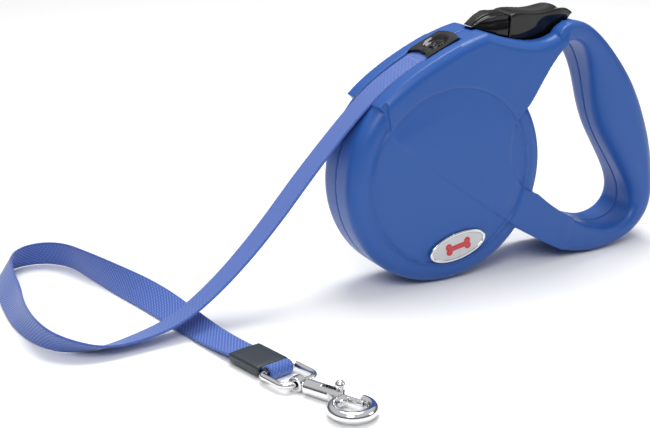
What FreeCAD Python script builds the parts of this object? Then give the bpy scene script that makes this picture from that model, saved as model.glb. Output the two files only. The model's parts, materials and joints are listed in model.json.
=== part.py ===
"""Retractable dog leash: a drum casing with a handle loop, and its flat tape laid on the ground.

Millimetres, +Z up, standing on the drum casing and the handle's lower corner.
X runs from the tape's side to the handle, Y across the casing, and the parting plane is Y = 0.
The casing is drawn about the drum's axis and is moved onto its stand when it is saved.
The tape and what hangs on it are drawn where they lie on the ground.
"""
import FreeCAD, Part
import math
import os

V = FreeCAD.Vector

# ---- casing ----
disc_r = 46.0              # drum casing radius
handle_reach = 64.0        # from the drum casing's edge to the back of the handle
face_half = 14.5           # half width over the drum's round faces
plate_half = 15.0          # half width over the raised plate that carries the handle
grip_half = 12.0           # half width of the handle's grip
hollow_half = 13.3         # half width in the soft hollow round the face
wall = 2.2                 # casing wall
parting_gap = 0.2          # gap along the parting line
ring_in = 9.0              # from the drum casing's edge in to the ring line moulded in each face
ring_w = 0.9               # width of the ring line
ring_deep = 0.45           # depth of the ring line
rim_round = 6.0            # rounding of the casing's rim
plate_top_round = 4.0      # rounding along the plate's top edge
handle_wall = 2.0          # wall of the hollow handle
channel_deep = 1.6         # how far the tape's ramp lies below the cheeks

# ---- tape and spool ----
tape_w = 12.0
tape_t = 0.9
tape_side_gap = 0.6        # side clearance of the tape in its channel
core_r = 14.0              # drum core, outside
core_wall = 1.8
flange_t = 1.2
flange_gap = 0.35          # between the wound tape and each flange
boss_gap = 0.9             # from each flange to the boss that carries the arbor
tooth_gap = 1.6            # from the brake teeth to the casing's inside
tooth_deep = 2.0
roll_margin = 1.4          # from the wound tape's edge to the bottom of the brake teeth
tooth_count = 24
arbor_r = 3.0
run_clear = 0.05           # running clearance on pins and arbors
spring_strip = 0.35        # power spring strip thickness
spring_turns = 8
arbor_seat = 0.6           # depth of the arbor's seat in each shell

# ---- brake ----
brake_pivot_x = 20.0
brake_pivot_z = 49.0
pivot_r = 1.5
button_half = 7.2          # half width of the button
button_gap = 0.4           # around the button in its slot
pawl_tip_gap = 0.4         # from the pawl's tip to the brake teeth
pawl_angle = 51.0          # where the pawl meets the teeth, up from the handle's side
pawl_tip_half = 1.4
pawl_root_half = 2.6
pawl_long = 6.0            # from the pawl's tip to its root
web_over = 0.85            # how far the pawl's web reaches over the toothed flange
lever_half = 2.6           # half width of the lever under the button
lever_hub_r = 2.9
return_spring_r = 2.0
return_wire_r = 0.3
return_turns = 4
lock_gap = 0.3             # under the lock slider
screw_r = 1.25
screw_head_r = 2.6
screw_head_t = 1.8
screw_head_deep = 1.8      # from the casing's side down to the screw head

# ---- guide and badge ----
guide_side = 1.6           # guide's side wall, beside the tape
guide_proud = 0.4          # guide above the cheeks
dish_r = 15.0              # dish in the guide's top
dish_deep = 1.2
badge_long = 27.0
badge_short = 11.6
badge_tilt = 11.0
badge_rim_w = 1.1
emblem_proud = 0.2         # emblem above the badge's face

# ---- tape end ----
sleeve_long = 17.2
sleeve_side = 1.2          # sleeve's side wall
sleeve_t = 3.8
ring_wire_r = 1.2
ring_long = 13.4
ring_spare = 6.0           # ring's outside width beyond the tape's width
ring_corner = 4.0
bar_gap = 2.6              # from the sleeve to the ring's bar
bush_wall = 0.7
eye_gap = 0.55             # loose fit of the swivel eye on the ring
eye_wall = 1.1
eye_w = 3.6
hook_turn = 14.0           # how far the hook points aside from the ring
eye_aside = -2.0           # where the eye hangs along the ring's far bar
stem_r = 1.3
stem_head_r = 1.9
stem_head_t = 1.0
barrel_r = 2.8
barrel_long = 15.3
hoop_r = 6.9               # hook's bend, to the middle of its section
hoop_wire_r = 2.1
hoop_aside = 4.8           # hook's bend beside the barrel's axis
web_long = 5.0             # web from the barrel's end back along the barrel
bolt_r = 1.2
bolt_long = 12.4
bolt_travel = 6.0
knob_r = 0.9               # stem of the bolt's thumb knob
knob_ball_r = 1.9
knob_high = 4.4            # from the bolt's axis to the middle of the knob
bolt_spring_r = 0.8
bolt_wire_r = 0.2
bolt_spring_turns = 6

# ---- worked out from these ----
ring_r = disc_r - ring_in
cavity_r = disc_r - wall
tooth_tip_r = cavity_r - tooth_gap
tooth_root_r = tooth_tip_r - tooth_deep
roll_r = tooth_root_r - roll_margin
core_half = tape_w / 2 + flange_gap
pocket_half = hollow_half - wall           # half width inside, at the brake
cavity_half = pocket_half + 1.0            # half width inside, round the spool
arbor_half = cavity_half + arbor_seat
slot_half = button_half + button_gap
channel_half = tape_w / 2 + tape_side_gap
guide_half = tape_w / 2 + guide_side
sleeve_w = tape_w + 2 * sleeve_side
ring_wide = tape_w + ring_spare

# The tape's route on the ground and up to the guide, in the standing frame.
# Each point has its place and the tilt of the tape's left edge, in degrees.
TAPE_ROUTE = [
    (-42.0, 0.0, 93.2, 0.0),
    (-55.0, 0.0, 87.0, 0.0),
    (-70.0, 0.0, 75.0, 0.0),
    (-90.0, 0.0, 54.5, 1.0),
    (-111.0, -2.5, 33.0, 5.0),
    (-131.0, -6.0, 17.2, 9.0),
    (-151.0, -10.0, 6.4, 10.0),
    (-169.0, -12.0, 3.0, 13.0),
    (-185.0, -13.5, 2.8, 25.0),
    (-197.0, -9.0, 5.4, 54.0),
    (-202.5, 4.0, 6.4, 82.0),
    (-203.0, 23.0, 6.1, 108.0),
    (-199.5, 44.0, 5.1, 128.0),
    (-197.0, 61.0, 5.3, 127.0),
    (-192.5, 78.0, 5.7, 121.0),
    (-184.0, 85.5, 5.9, 117.0),
    (-173.0, 85.5, 6.0, 112.0),
    (-165.0, 77.5, 6.2, 105.0),
    (-161.5, 62.0, 6.4, 94.0),
    (-156.5, 41.0, 6.0, 74.0),
    (-149.5, 17.0, 4.8, 44.0),
    (-145.0, -6.0, 2.5, 18.0),
    (-142.0, -26.0, 1.9, 7.0),
    (-138.8, -41.0, 2.9, 0.0),
]


# ------------------------------------------------------------------ helpers
def pt(x, z, y=0.0):
    return V(x, y, z)


def cyl(r, y0, y1, x=0.0, z=0.0):
    return Part.makeCylinder(r, y1 - y0, V(x, y0, z), V(0, 1, 0))


def block(x0, x1, y0, y1, z0, z1):
    return Part.makeBox(x1 - x0, y1 - y0, z1 - z0, V(x0, y0, z0))


def spline(points):
    curve = Part.BSplineCurve()
    curve.interpolate([pt(x, z) for x, z in points])
    return curve.toShape()


def line(a, b):
    return Part.makeLine(pt(*a), pt(*b))


def slab(edges, half):
    """Extrude a closed outline in the XZ plane to both sides of the parting plane."""
    face = Part.Face(Part.Wire(Part.__sortEdges__(edges)))
    face.translate(V(0, -half, 0))
    return face.extrude(V(0, 2 * half, 0))


def polygon(points):
    return [line(points[i], points[(i + 1) % len(points)]) for i in range(len(points))]


def prism(points, y0, y1):
    wire = Part.makePolygon([pt(x, z, y0) for x, z in points] + [pt(points[0][0], points[0][1], y0)])
    return Part.Face(wire).extrude(V(0, y1 - y0, 0))


def fuse(first, *rest):
    return first.multiFuse(list(rest)).removeSplitter()


def frame_at(points, i):
    """Unit tangent of a point list at index i."""
    a = points[max(i - 1, 0)]
    b = points[min(i + 1, len(points) - 1)]
    return (b - a).normalize()


def skin(sections):
    """Closed solid from a row of polygon sections with the same number of corners."""
    faces = []
    count = len(sections[0])

    def tri(a, b, c):
        if (b - a).cross(c - a).Length > 1e-7:
            faces.append(Part.Face(Part.makePolygon([a, b, c, a])))

    for i in range(len(sections) - 1):
        for j in range(count):
            near_a = sections[i][j]
            near_b = sections[i][(j + 1) % count]
            far_b = sections[i + 1][(j + 1) % count]
            far_a = sections[i + 1][j]
            tri(near_a, near_b, far_b)
            tri(near_a, far_b, far_a)
    for ring in (sections[0], sections[-1]):
        middle = V(0, 0, 0)
        for corner in ring:
            middle += corner
        middle = middle * (1.0 / count)
        for j in range(count):
            tri(middle, ring[j], ring[(j + 1) % count])
    solid = Part.Solid(Part.Shell(faces))
    if solid.Volume < 0:
        solid.reverse()
    return solid


def coil(axis_start, axis_dir, radius, wire, length, turns, steps=12, corners=6):
    """Round-wire compression spring as a plain helix of flat facets."""
    up = V(*axis_dir).normalize()
    side = up.cross(V(0, 1, 0)) if abs(up.y) < 0.9 else up.cross(V(1, 0, 0))
    side.normalize()
    other = up.cross(side)
    total = int(turns * steps)
    centre = []
    for i in range(total + 1):
        angle = 2 * math.pi * i / steps
        rise = wire + (length - 2 * wire) * i / total
        out = side * math.cos(angle) + other * math.sin(angle)
        centre.append(V(*axis_start) + up * rise + out * radius)
    rings = []
    for i in range(total + 1):
        tangent = frame_at(centre, i)
        angle = 2 * math.pi * i / steps
        outward = side * math.cos(angle) + other * math.sin(angle)
        normal = tangent.cross(outward).normalize()
        ring = []
        for j in range(corners):
            turn = 2 * math.pi * j / corners
            ring.append(centre[i] + outward * wire * math.cos(turn) + normal * wire * math.sin(turn))
        rings.append(ring)
    return skin(rings)


# ------------------------------------------------------------------ casing outlines
grow = disc_r / 46.0
reach = handle_reach / 64.0


def d(x, z):
    """A point of the casing that follows the drum's radius."""
    return (x * grow, z * grow)


def h(x, z):
    """A point of the handle: behind the drum it follows the handle's reach, and its height the drum."""
    edge = disc_r
    along = x - 46.0
    return (edge + along * reach, z * grow)


RAMP = [d(-34.0, 33.0), d(-23.0, 41.2), d(-10.0, 48.3), d(3.0, 53.8), d(16.0, 57.0)]
SADDLE = [d(16.0, 57.3), d(24.0, 54.6), d(34.0, 52.0), d(42.0, 51.2), h(48.5, 52.5), h(56.0, 58.0)]
WING_FRONT = d(-31.0, 35.6)
RAMP_PLATE = [WING_FRONT, d(-23.0, 41.2), d(-10.0, 48.3), d(3.0, 53.8), SADDLE[0]]
CREASE = [d(-29.0, 21.0), d(-16.0, 10.0), d(-2.0, -1.0), d(13.0, -12.0), d(33.0, -27.0)]
ARM_LOW = [d(33.0, -27.0), h(50.0, -37.5), h(58.0, -41.8)]
ARM_TOP = [h(63.0, -28.0), h(52.0, -21.0), d(43.5, -14.0)]
GAP_SIDE = [d(36.8, 25.6), d(43.0, 35.0), h(49.5, 44.0), h(55.0, 49.0)]

# Housing screws, with the casing's half width there.
SCREWS = [(d(39.0, 38.0), plate_half), (h(96.0, 4.0), grip_half), (h(56.5, -32.5), plate_half)]
PIVOT = (brake_pivot_x * grow, brake_pivot_z * grow)
GUIDE_FLOOR = [d(-9.6, 46.6), d(-2.0, 48.6), d(7.0, 50.6)]
GUIDE_TOP = [d(-9.6, 48.5), d(-4.0, 51.1), d(2.0, 53.5), d(7.0, 55.1)]
GUIDE_BEND = d(-3.0, 49.3)
TOOTH_PHASE = math.radians(-5.4)      # stands a gap between teeth under the pawl
LOCK_SLOPE = V(-0.948, 0, 0.318)      # the lock slider's way up the saddle

# Inner and outer points round the handle at even steps, with the grip's half width and corner
# rounding at each: wide and soft at the back, narrow where the loop runs into the plate.
LOOP_IN = [h(51.5, 47.0), h(57.0, 50.0), h(63.0, 48.4), h(68.5, 42.5), h(72.5, 33.0), h(75.2, 22.0),
           h(79.2, 9.5), h(86.0, -2.5), h(93.0, -13.5), h(97.5, -23.5), h(96.0, -32.0), h(89.0, -36.2),
           h(80.0, -35.8), h(70.0, -32.0), h(60.0, -26.8)]
LOOP_OUT = [h(50.5, 53.6), h(57.5, 57.6), h(67.0, 55.6), h(78.0, 47.6), h(89.0, 36.2), h(98.0, 23.6),
            h(104.6, 9.6), h(108.6, -3.6), h(110.0, -16.0), h(109.0, -28.0), h(102.6, -37.6), h(92.0, -43.2),
            h(80.0, -45.2), h(67.0, -44.2), h(55.5, -39.8)]
LOOP_HALF = [14.5, 14.2, 13.4, 12.6, 12.1, 12.0, 12.0, 12.0, 12.0, 12.1, 12.5, 13.1, 13.8, 14.3, 14.6]
LOOP_CORNER = [1.0, 1.8, 3.0, 4.6, 6.6, 8.0, 8.6, 8.2, 6.8, 5.0, 3.8, 3.3, 3.0, 2.2, 1.2]
LOOP_STEPS = 20            # sections along the handle
SEAM_TURN = 118.0          # puts the drum's seam below, away from the plate


def loop_sections(inset, first, last):
    """Rounded rectangles across the handle, each in the plane of its inner and outer points and Y."""
    steps = len(LOOP_IN) - 1
    params = [i / steps for i in range(steps + 1)]
    inner = Part.BSplineCurve()
    inner.interpolate(Points=[pt(*p) for p in LOOP_IN], Parameters=params)
    outer = Part.BSplineCurve()
    outer.interpolate(Points=[pt(*p) for p in LOOP_OUT], Parameters=params)
    size = Part.BSplineCurve()
    scale = grip_half / 12.0
    size.interpolate(Points=[V(half * scale, corner, 0) for half, corner in zip(LOOP_HALF, LOOP_CORNER)],
                     Parameters=params)
    sections = []
    for i in range(LOOP_STEPS + 1):
        s = first + (last - first) * i / LOOP_STEPS
        a = inner.value(s)
        b = outer.value(s)
        width = size.value(s)
        sections.append(loop_section(a, b, width.x - inset, width.y - inset * 0.5, inset))
    return sections


def loop_section(a, b, half, corner, inset):
    across = (b - a).normalize()
    a = a + across * inset
    b = b - across * inset
    r = max(min(corner, (b - a).Length * 0.42, half * 0.8), 0.5)
    y = V(0, 1, 0)
    k = r * (1 - math.sqrt(0.5))
    corners = ((b, across * -1, y), (b, across * -1, y * -1), (a, across, y * -1), (a, across, y))
    edges = []
    last = a + across * r + y * half
    first = last
    for place, inward, side in corners:
        from_side = place + inward * r + side * half
        from_end = place + side * (half - r)
        middle = place + inward * k + side * (half - k)
        start, end = (from_side, from_end) if len(edges) % 4 == 0 else (from_end, from_side)
        edges.append(Part.makeLine(last, start))
        edges.append(Part.Arc(start, middle, end).toShape())
        last = end
    return Part.Wire(edges)


def handle_loop(inset, first=0.0, last=1.0):
    return Part.makeLoft(loop_sections(inset, first, last), True, False)


def drum_solid():
    """Round casing: flat faces, ring line, soft hollow outside it, rounded rim."""
    bevel = (disc_r - rim_round - ring_r) / 3
    outer = [
        V(0, face_half, 0),
        V(ring_r, face_half, 0),
        V(ring_r + bevel, hollow_half - 0.1, 0),
        V(ring_r + 2 * bevel, hollow_half - 0.1, 0),
        V(disc_r - rim_round, hollow_half, 0),
    ]
    rim_mid = V(disc_r - rim_round * (1 - math.sqrt(0.5)), hollow_half - rim_round * (1 - math.sqrt(0.5)), 0)
    rim_end = V(disc_r, hollow_half - rim_round, 0)
    upper = [Part.makeLine(outer[i], outer[i + 1]) for i in range(4)]
    upper.append(Part.Arc(outer[4], rim_mid, rim_end).toShape())
    mirrored = [e.mirror(V(0, 0, 0), V(0, 1, 0)) for e in upper]
    closing = Part.makeLine(rim_end, V(disc_r, -rim_end.y, 0))
    axis = Part.makeLine(V(0, -face_half, 0), V(0, face_half, 0))
    wire = Part.Wire(Part.__sortEdges__(upper + mirrored + [closing, axis]))
    drum = Part.Face(wire).revolve(V(0, 0, 0), V(0, 1, 0), 360)
    drum.rotate(V(0, 0, 0), V(0, 1, 0), SEAM_TURN)
    return drum


def ring_groove(side):
    outer = cyl(ring_r + ring_w / 2, side * plate_half - ring_deep, side * plate_half + ring_deep)
    inner = cyl(ring_r - ring_w / 2, side * plate_half - ring_deep, side * plate_half + ring_deep)
    return outer.cut(inner)


def plate_solid():
    """Raised plate over the drum's upper part, both arms included, with its top edges rounded."""
    rear_top = h(56.0, 58.0)
    edges = [spline(RAMP_PLATE), spline([RAMP_PLATE[-1]] + SADDLE[1:])]
    edges.append(line(rear_top, GAP_SIDE[-1]))
    edges.append(spline(list(reversed(GAP_SIDE))))
    arc_mid = d(28.0, 6.0)
    edges.append(Part.Arc(pt(*GAP_SIDE[0]), pt(*arc_mid), pt(*ARM_TOP[-1])).toShape())
    edges.append(spline(list(reversed(ARM_TOP))))
    edges.append(line(ARM_TOP[0], ARM_LOW[-1]))
    edges.append(spline(list(reversed(ARM_LOW))))
    edges.append(spline(list(reversed(CREASE))))
    edges.append(line(CREASE[0], RAMP_PLATE[0]))
    body = slab(edges, plate_half)
    rounded = [e for e in body.Edges if on_top_line(e)]
    return body.makeFillet(plate_top_round, rounded)


def on_top_line(edge):
    """Edges that run along the ramp or the saddle on either side face."""
    if abs(abs(edge.CenterOfMass.y) - plate_half) > 0.01:
        return False
    ends = [v.Point for v in edge.Vertexes]
    limits = (RAMP_PLATE[0], SADDLE[0], SADDLE[-1])
    hits = sum(1 for e in ends for p in limits if abs(e.x - p[0]) < 0.01 and abs(e.z - p[1]) < 0.01)
    return hits == 2 and edge.Length > 5.0


def cheek_solid():
    """Front of the ramp's cheeks, a little narrower than the plate."""
    low = [RAMP[0], d(-30.5, 30.0), d(-20.0, 28.0), d(8.0, 40.0), RAMP[3]]
    edges = [spline(RAMP[:4])]
    for a, b in zip(low[:-1], low[1:]):
        edges.append(line(a, b))
    return slab(edges, hollow_half - 0.4)


# ------------------------------------------------------------------ casing
def ramp_floor(offset):
    return [(x, z - offset) for x, z in RAMP[:4]]


def build_casing():
    outer = fuse(drum_solid(), plate_solid(), cheek_solid(), handle_loop(0.0))

    cavity = cyl(cavity_r, -cavity_half, cavity_half)
    rims = [e for e in cavity.Edges if isinstance(e.Curve, Part.Circle)]
    cavity = cavity.makeFillet(rim_round - wall, rims)
    pocket_line = [d(-5.0, 38.0), d(-3.0, 44.0), d(11.0, 50.5), d(17.0, 52.8), d(24.5, 52.4), d(41.0, 48.0),
                   h(48.0, 49.0), h(48.5, 46.0), d(39.0, 31.0), d(20.0, 30.0)]
    pocket = slab(polygon(pocket_line), pocket_half)
    slot = slab(polygon([d(24.5, 60.0), d(24.5, 49.0), d(41.0, 46.5), h(49.0, 46.2), h(55.0, 51.6),
                         h(65.5, 52.8), h(68.0, 62.0), d(30.0, 62.0)]), slot_half)
    rail = slab(polygon([d(14.6, 59.0), d(14.6, 54.0), d(22.6, 53.2), d(22.6, 59.0)]), 3.4)
    lower = ramp_floor(channel_deep)
    rear, front = lower[-1], lower[0]
    channel = slab([spline(lower), line(rear, (rear[0], rear[1] + 9.0)),
                    line((rear[0], rear[1] + 9.0), (front[0] - 12.0, front[1] + 18.0)),
                    line((front[0] - 12.0, front[1] + 18.0), (front[0] - 12.0, front[1] - 10.0)),
                    line((front[0] - 12.0, front[1] - 10.0), front)], channel_half)
    channel = channel.common(block(-60 * grow, -9.0 * grow, -20, 20, 0, 90))
    guide_pocket = slab(polygon(GUIDE_FLOOR + [d(7.0, 60.0), d(-9.6, 60.0)]), guide_half)
    mouth_line = [d(-9.6, 42.0), d(-9.6, 48.2), d(-3.0, 50.5), d(7.0, 51.2), d(7.0, 42.0)]
    mouth = slab(polygon(mouth_line), channel_half)
    hollow = handle_loop(handle_wall, 0.12, 0.90)

    body = outer.cut(cavity)
    for tool in (pocket, slot, rail, channel, guide_pocket, mouth, hollow, ring_groove(1), ring_groove(-1)):
        body = body.cut(tool)

    boss_face = core_half + flange_t + boss_gap
    bosses = [cyl(6.0, -face_half + 0.5, -boss_face), cyl(6.0, boss_face, face_half - 0.5)]
    bosses.append(cyl(3.4, -pocket_half - 0.5, -slot_half, *PIVOT))
    bosses.append(cyl(3.4, slot_half, pocket_half + 0.5, *PIVOT))
    for place, half in SCREWS:
        bosses.append(cyl(3.2, -half + 2.0, half - 2.0, *place))
    body = body.multiFuse(bosses)
    body = body.cut(cyl(arbor_r, -arbor_half, arbor_half))
    body = body.cut(cyl(pivot_r, -pocket_half, pocket_half, *PIVOT))
    for place, half in SCREWS:
        body = body.cut(cyl(screw_r, -half + 4.0, half, *place))
        body = body.cut(cyl(screw_head_r + 0.2, half - screw_head_deep - screw_head_t, half + 1.0, *place))
    near_side = block(-300, 300, -60, -parting_gap / 2, -300, 300)
    far_side = block(-300, 300, parting_gap / 2, 60, -300, 300)
    return largest(body.common(near_side)), largest(body.common(far_side))


def build_screws():
    """Three screws put in from the far side, each threaded into the near shell's post."""
    screws = []
    for place, half in SCREWS:
        seat = half - screw_head_deep - screw_head_t
        shank = cyl(screw_r, -half + 4.0, seat, *place)
        head = cyl(screw_head_r, seat, seat + screw_head_t, *place)
        cross = block(-1.6, 1.6, seat + 1.0, seat + screw_head_t, -0.35, 0.35)
        cross = cross.fuse(block(-0.35, 0.35, seat + 1.0, seat + screw_head_t, -1.6, 1.6))
        cross.translate(pt(*place))
        screws.append(shank.fuse(head).cut(cross).removeSplitter())
    return Part.makeCompound(screws)


def largest(shape):
    return sorted(shape.Solids, key=lambda s: s.Volume)[-1]


# ------------------------------------------------------------------ spool
def build_spool():
    half = core_half
    tube = cyl(core_r, -half, half).cut(cyl(core_r - core_wall, -half, half))
    teeth = []
    pitch = 2 * math.pi / tooth_count
    for i in range(tooth_count):
        base = i * pitch
        corners = ((0.02, tooth_root_r), (0.10, tooth_tip_r), (0.42, tooth_tip_r), (0.50, tooth_root_r))
        for share, r in corners:
            angle = base + share * pitch + TOOTH_PHASE
            teeth.append((r * math.cos(angle), r * math.sin(angle)))
    near = prism(teeth, -half - flange_t, -half)
    near = near.cut(cyl(arbor_r + run_clear, -half - flange_t, -half))
    drum = fuse(tube, near)
    notch = cyl(1.0, -half + 0.4, half - 0.4, 0, core_r - 0.4)
    drum = drum.cut(notch)
    cover = cyl(tooth_root_r, half, half + flange_t).cut(cyl(arbor_r + run_clear, half, half + flange_t))
    lip = cyl(core_r - core_wall, half - 1.6, half).cut(cyl(core_r - core_wall - 1.2, half - 1.6, half))
    cover = fuse(cover, lip)
    roll = cyl(roll_r, -tape_w / 2, tape_w / 2).cut(cyl(core_r, -tape_w / 2, tape_w / 2))
    pin = cyl(0.6, -half + 0.6, half - 0.6, 0, core_r - 0.7)
    reach_in = arbor_r + 0.4
    reach_out = core_r - core_wall - 0.6
    steps = 24
    ribbon_in = []
    ribbon_out = []
    for i in range(spring_turns * steps + 1):
        share = i / (spring_turns * steps)
        angle = 2 * math.pi * i / steps
        r = reach_in + (reach_out - reach_in - spring_strip) * share
        ribbon_in.append((r * math.cos(angle), r * math.sin(angle)))
        ribbon_out.append(((r + spring_strip) * math.cos(angle), (r + spring_strip) * math.sin(angle)))
    strip = prism(ribbon_in + list(reversed(ribbon_out)), -half + 0.8, half - 2.0)
    arbor = cyl(arbor_r, -arbor_half, arbor_half)
    return drum, cover, roll, pin, strip, arbor


# ------------------------------------------------------------------ brake
def build_brake():
    px, pz = PIVOT
    top = [d(31.0, 61.9), d(37.0, 62.9), d(44.0, 62.2), h(50.0, 62.4), h(58.0, 63.0), h(63.5, 60.6)]
    edges = [spline(top)]
    low = [h(63.5, 60.6), h(60.0, 56.6), h(55.0, 55.0), h(50.0, 51.2), d(42.0, 50.0), d(30.0, 52.0)]
    low.append(top[0])
    for a, b in zip(low[:-1], low[1:]):
        edges.append(line(a, b))
    button = slab(edges, button_half)
    sides = [e for e in button.Edges if abs(abs(e.CenterOfMass.y) - button_half) < 0.01]
    button = button.makeChamfer(0.8, [e for e in sides if e.CenterOfMass.z > 61.0 * grow])
    arm_line = [d(31.0, 52.2), d(31.0, 49.0), (px, pz - lever_half), (px - pivot_r, pz), (px, pz + lever_half)]
    arm = prism(arm_line, -lever_half, lever_half)
    arm = arm.fuse(prism([d(30.0, 49.6), d(30.0, 53.5), d(42.0, 52.0), d(42.0, 48.4)], -4.0, 4.0))
    hub = cyl(lever_hub_r, -lever_half, lever_half, px, pz)
    lever = fuse(button, arm, hub).cut(cyl(pivot_r + run_clear, -slot_half, slot_half, px, pz))
    direction = math.radians(pawl_angle)
    tip_r = tooth_tip_r + pawl_tip_gap
    radial = V(math.cos(direction), 0, math.sin(direction))
    across = V(-radial.z, 0, radial.x)
    tip = radial * tip_r
    root = radial * (tip_r + pawl_long)
    points = [tip + across * pawl_tip_half, tip - across * pawl_tip_half, root - across * pawl_root_half,
              pt(*d(33.0, 49.2)), pt(*d(27.0, 49.8)), root + across * pawl_root_half]
    pawl = prism([(p.x, p.z) for p in points], -core_half - flange_t - 0.2, -core_half + 0.1)
    web = prism([d(27.0, 49.8), d(33.0, 49.2), d(33.0, 51.8), d(27.0, 52.2)], -core_half - web_over, -lever_half)
    pawl = fuse(pawl, web).cut(lever)
    pin = cyl(pivot_r, -pocket_half, pocket_half, px, pz)
    spring_foot = pt(*d(44.8, 46.6))
    spring_top = pt(*d(44.8, 49.9))
    spring_long = (spring_top - spring_foot).Length
    spring = coil(spring_foot, (0, 0, 1), return_spring_r, return_wire_r, spring_long, return_turns)
    return lever, largest(pawl), pin, spring


def build_lock():
    """Wedge-shaped slider in front of the button, with a foot in the casing's rail."""
    edges = [spline([d(14.5, 58.3), d(19.0, 61.6), d(25.0, 63.0), d(30.4, 62.6)])]
    low = [d(30.4, 62.6), d(29.6, 53.2), d(24.0, 54.6), d(16.4, 57.2), d(14.5, 58.3)]
    low = [low[0]] + [(x, z + lock_gap) for x, z in low[1:4]] + [low[4]]
    for a, b in zip(low[:-1], low[1:]):
        edges.append(line(a, b))
    wedge = slab(edges, button_half)
    nose = [(14.5 * grow, 3.0), (24.0 * grow, button_half), (36.0 * grow, button_half)]
    nose += [(x, -y) for x, y in reversed(nose)]
    wire = Part.makePolygon([V(x, y, 40) for x, y in nose] + [V(nose[0][0], nose[0][1], 40)])
    wedge = wedge.common(Part.Face(wire).extrude(V(0, 0, 40)))
    foot = block(18.8 * grow, 22.4 * grow, -3.0, 3.0, 54.4 * grow, 58.6 * grow)
    return fuse(wedge, foot)


# ------------------------------------------------------------------ guide and badge
def build_guide():
    """Guide over the tape's mouth: oval dish with a plain paw in it, and the tape's tunnel below."""
    top = [(x, z + guide_proud) for x, z in GUIDE_TOP]
    edges = [spline(top), line(top[0], GUIDE_FLOOR[0]), line(top[-1], GUIDE_FLOOR[-1])]
    edges += [line(a, b) for a, b in zip(GUIDE_FLOOR[:-1], GUIDE_FLOOR[1:])]
    body = slab(edges, guide_half)
    middle = pt(*d(-1.0, 52.5))
    normal = V(-0.4, 0, 0.917)
    along = V(0.917, 0, 0.4)
    dish = Part.makeSphere(dish_r, middle + normal * (dish_r - dish_deep))
    half = tape_w / 2 + 0.3
    tunnel = prism([d(-12.0, 40.0), d(-12.0, 48.1), d(-3.5, 50.4), d(-1.0, 50.2), d(8.0, 45.5), d(8.0, 40.0)],
                   -half, half)
    body = body.cut(dish).cut(tunnel)
    base = middle - normal * (dish_deep + 0.7)
    marks = [Part.makeCylinder(1.5, 1.5, base - along * 0.8, normal)]
    for across, ahead in ((-2.4, 0.6), (-0.9, 2.0), (0.9, 2.0), (2.4, 0.6)):
        marks.append(Part.makeCylinder(0.65, 1.5, base + V(0, across, 0) + along * ahead, normal))
    return largest(fuse(body, *marks))


def oval(a, b, y0, y1):
    ellipse = Part.Ellipse(V(0, 0, 0), a, b).toShape()
    face = Part.Face(Part.Wire([ellipse]))
    face.rotate(V(0, 0, 0), V(1, 0, 0), 90)
    face.translate(V(0, y0, 0))
    return face.extrude(V(0, y1 - y0, 0))


def build_badge():
    a = badge_long / 2
    b = badge_short / 2
    front = -plate_half
    back = -face_half
    rim = oval(a, b, front, back).cut(oval(a - badge_rim_w, b - badge_rim_w, front, back))
    plate = oval(a - badge_rim_w, b - badge_rim_w, front + emblem_proud, back)
    knuckles = [cyl(1.35, front, front + emblem_proud, x, z) for x in (-4.6, 4.6) for z in (-1.05, 1.05)]
    bone = fuse(block(-4.5, 4.5, front, front + emblem_proud, -1.0, 1.0), *knuckles)
    placed = []
    for shape in (rim, plate, bone):
        shape.rotate(V(0, 0, 0), V(0, 1, 0), -badge_tilt)
        shape.translate(V(3.5 * grow, 0, -30.0 * grow))
        placed.append(shape)
    return placed


# ------------------------------------------------------------------ tape
def rounded_path(points, per_arc=4):
    """Straight runs joined by tangent arcs, as (place, share of the route) samples."""
    places = [V(x, y, z) for x, y, z, t in points]
    tilts = [t for x, y, z, t in points]
    out = [(places[0], tilts[0])]
    radii = []
    length = 0.0
    for i in range(1, len(places) - 1):
        before = places[i - 1] - places[i]
        after = places[i + 1] - places[i]
        turn = math.pi - before.getAngle(after)
        cut = 0.45 * min(before.Length, after.Length)
        radius = cut / math.tan(turn / 2)
        radii.append(radius)
        u = V(before).normalize()
        w = V(after).normalize()
        start = places[i] + u * cut
        end = places[i] + w * cut
        bisector = (u + w).normalize()
        centre = places[i] + bisector * (radius / math.cos(turn / 2))
        for k in range(per_arc + 1):
            share = k / per_arc
            angle = turn * share
            from_centre = (start - centre)
            axis = from_centre.cross(end - centre).normalize()
            place = centre + FreeCAD.Rotation(axis, math.degrees(angle)).multVec(from_centre)
            reach_tilt = 0.45 * (2 * share - 1)
            other = tilts[i + 1] if reach_tilt > 0 else tilts[i - 1]
            out.append((place, tilts[i] + (other - tilts[i]) * abs(reach_tilt)))
    out.append((places[-1], tilts[-1]))
    for a, b in zip(out[:-1], out[1:]):
        length += (b[0] - a[0]).Length
    return out, radii, length


def band(samples, width, thick):
    """Flat tape along the samples: the width leans by the tilt from the level towards the left edge."""
    places = [s[0] for s in samples]
    rows = []
    for i, (place, tilt) in enumerate(samples):
        along = frame_at(places, i)
        left = V(-along.y, along.x, 0).normalize()
        up = along.cross(left)
        lean = math.radians(tilt)
        across = left * math.cos(lean) + up * math.sin(lean)
        normal = along.cross(across).normalize()
        a = across * (width / 2)
        n = normal * (thick / 2)
        rows.append([place + a + n, place - a + n, place - a - n, place + a - n])
    return skin(rows)


samples, route_radii, free_length = rounded_path(TAPE_ROUTE)


def build_inner_tape():
    """The tape's run from the wound roll up to the guide, where the free tape begins."""
    r = roll_r + tape_t / 2 + 0.3
    gx, gz = GUIDE_BEND
    distance = math.hypot(gx, gz)
    angle = math.atan2(gz, gx) - math.acos(r / distance)
    start = V(r * math.cos(angle), 0, r * math.sin(angle))
    mouth = samples[0][0] - STAND
    row = [start, V(gx, 0, gz), mouth]
    path, _, _ = rounded_path([(p.x, p.y, p.z, 0.0) for p in row], 5)
    return band(path, tape_w, tape_t)


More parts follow.
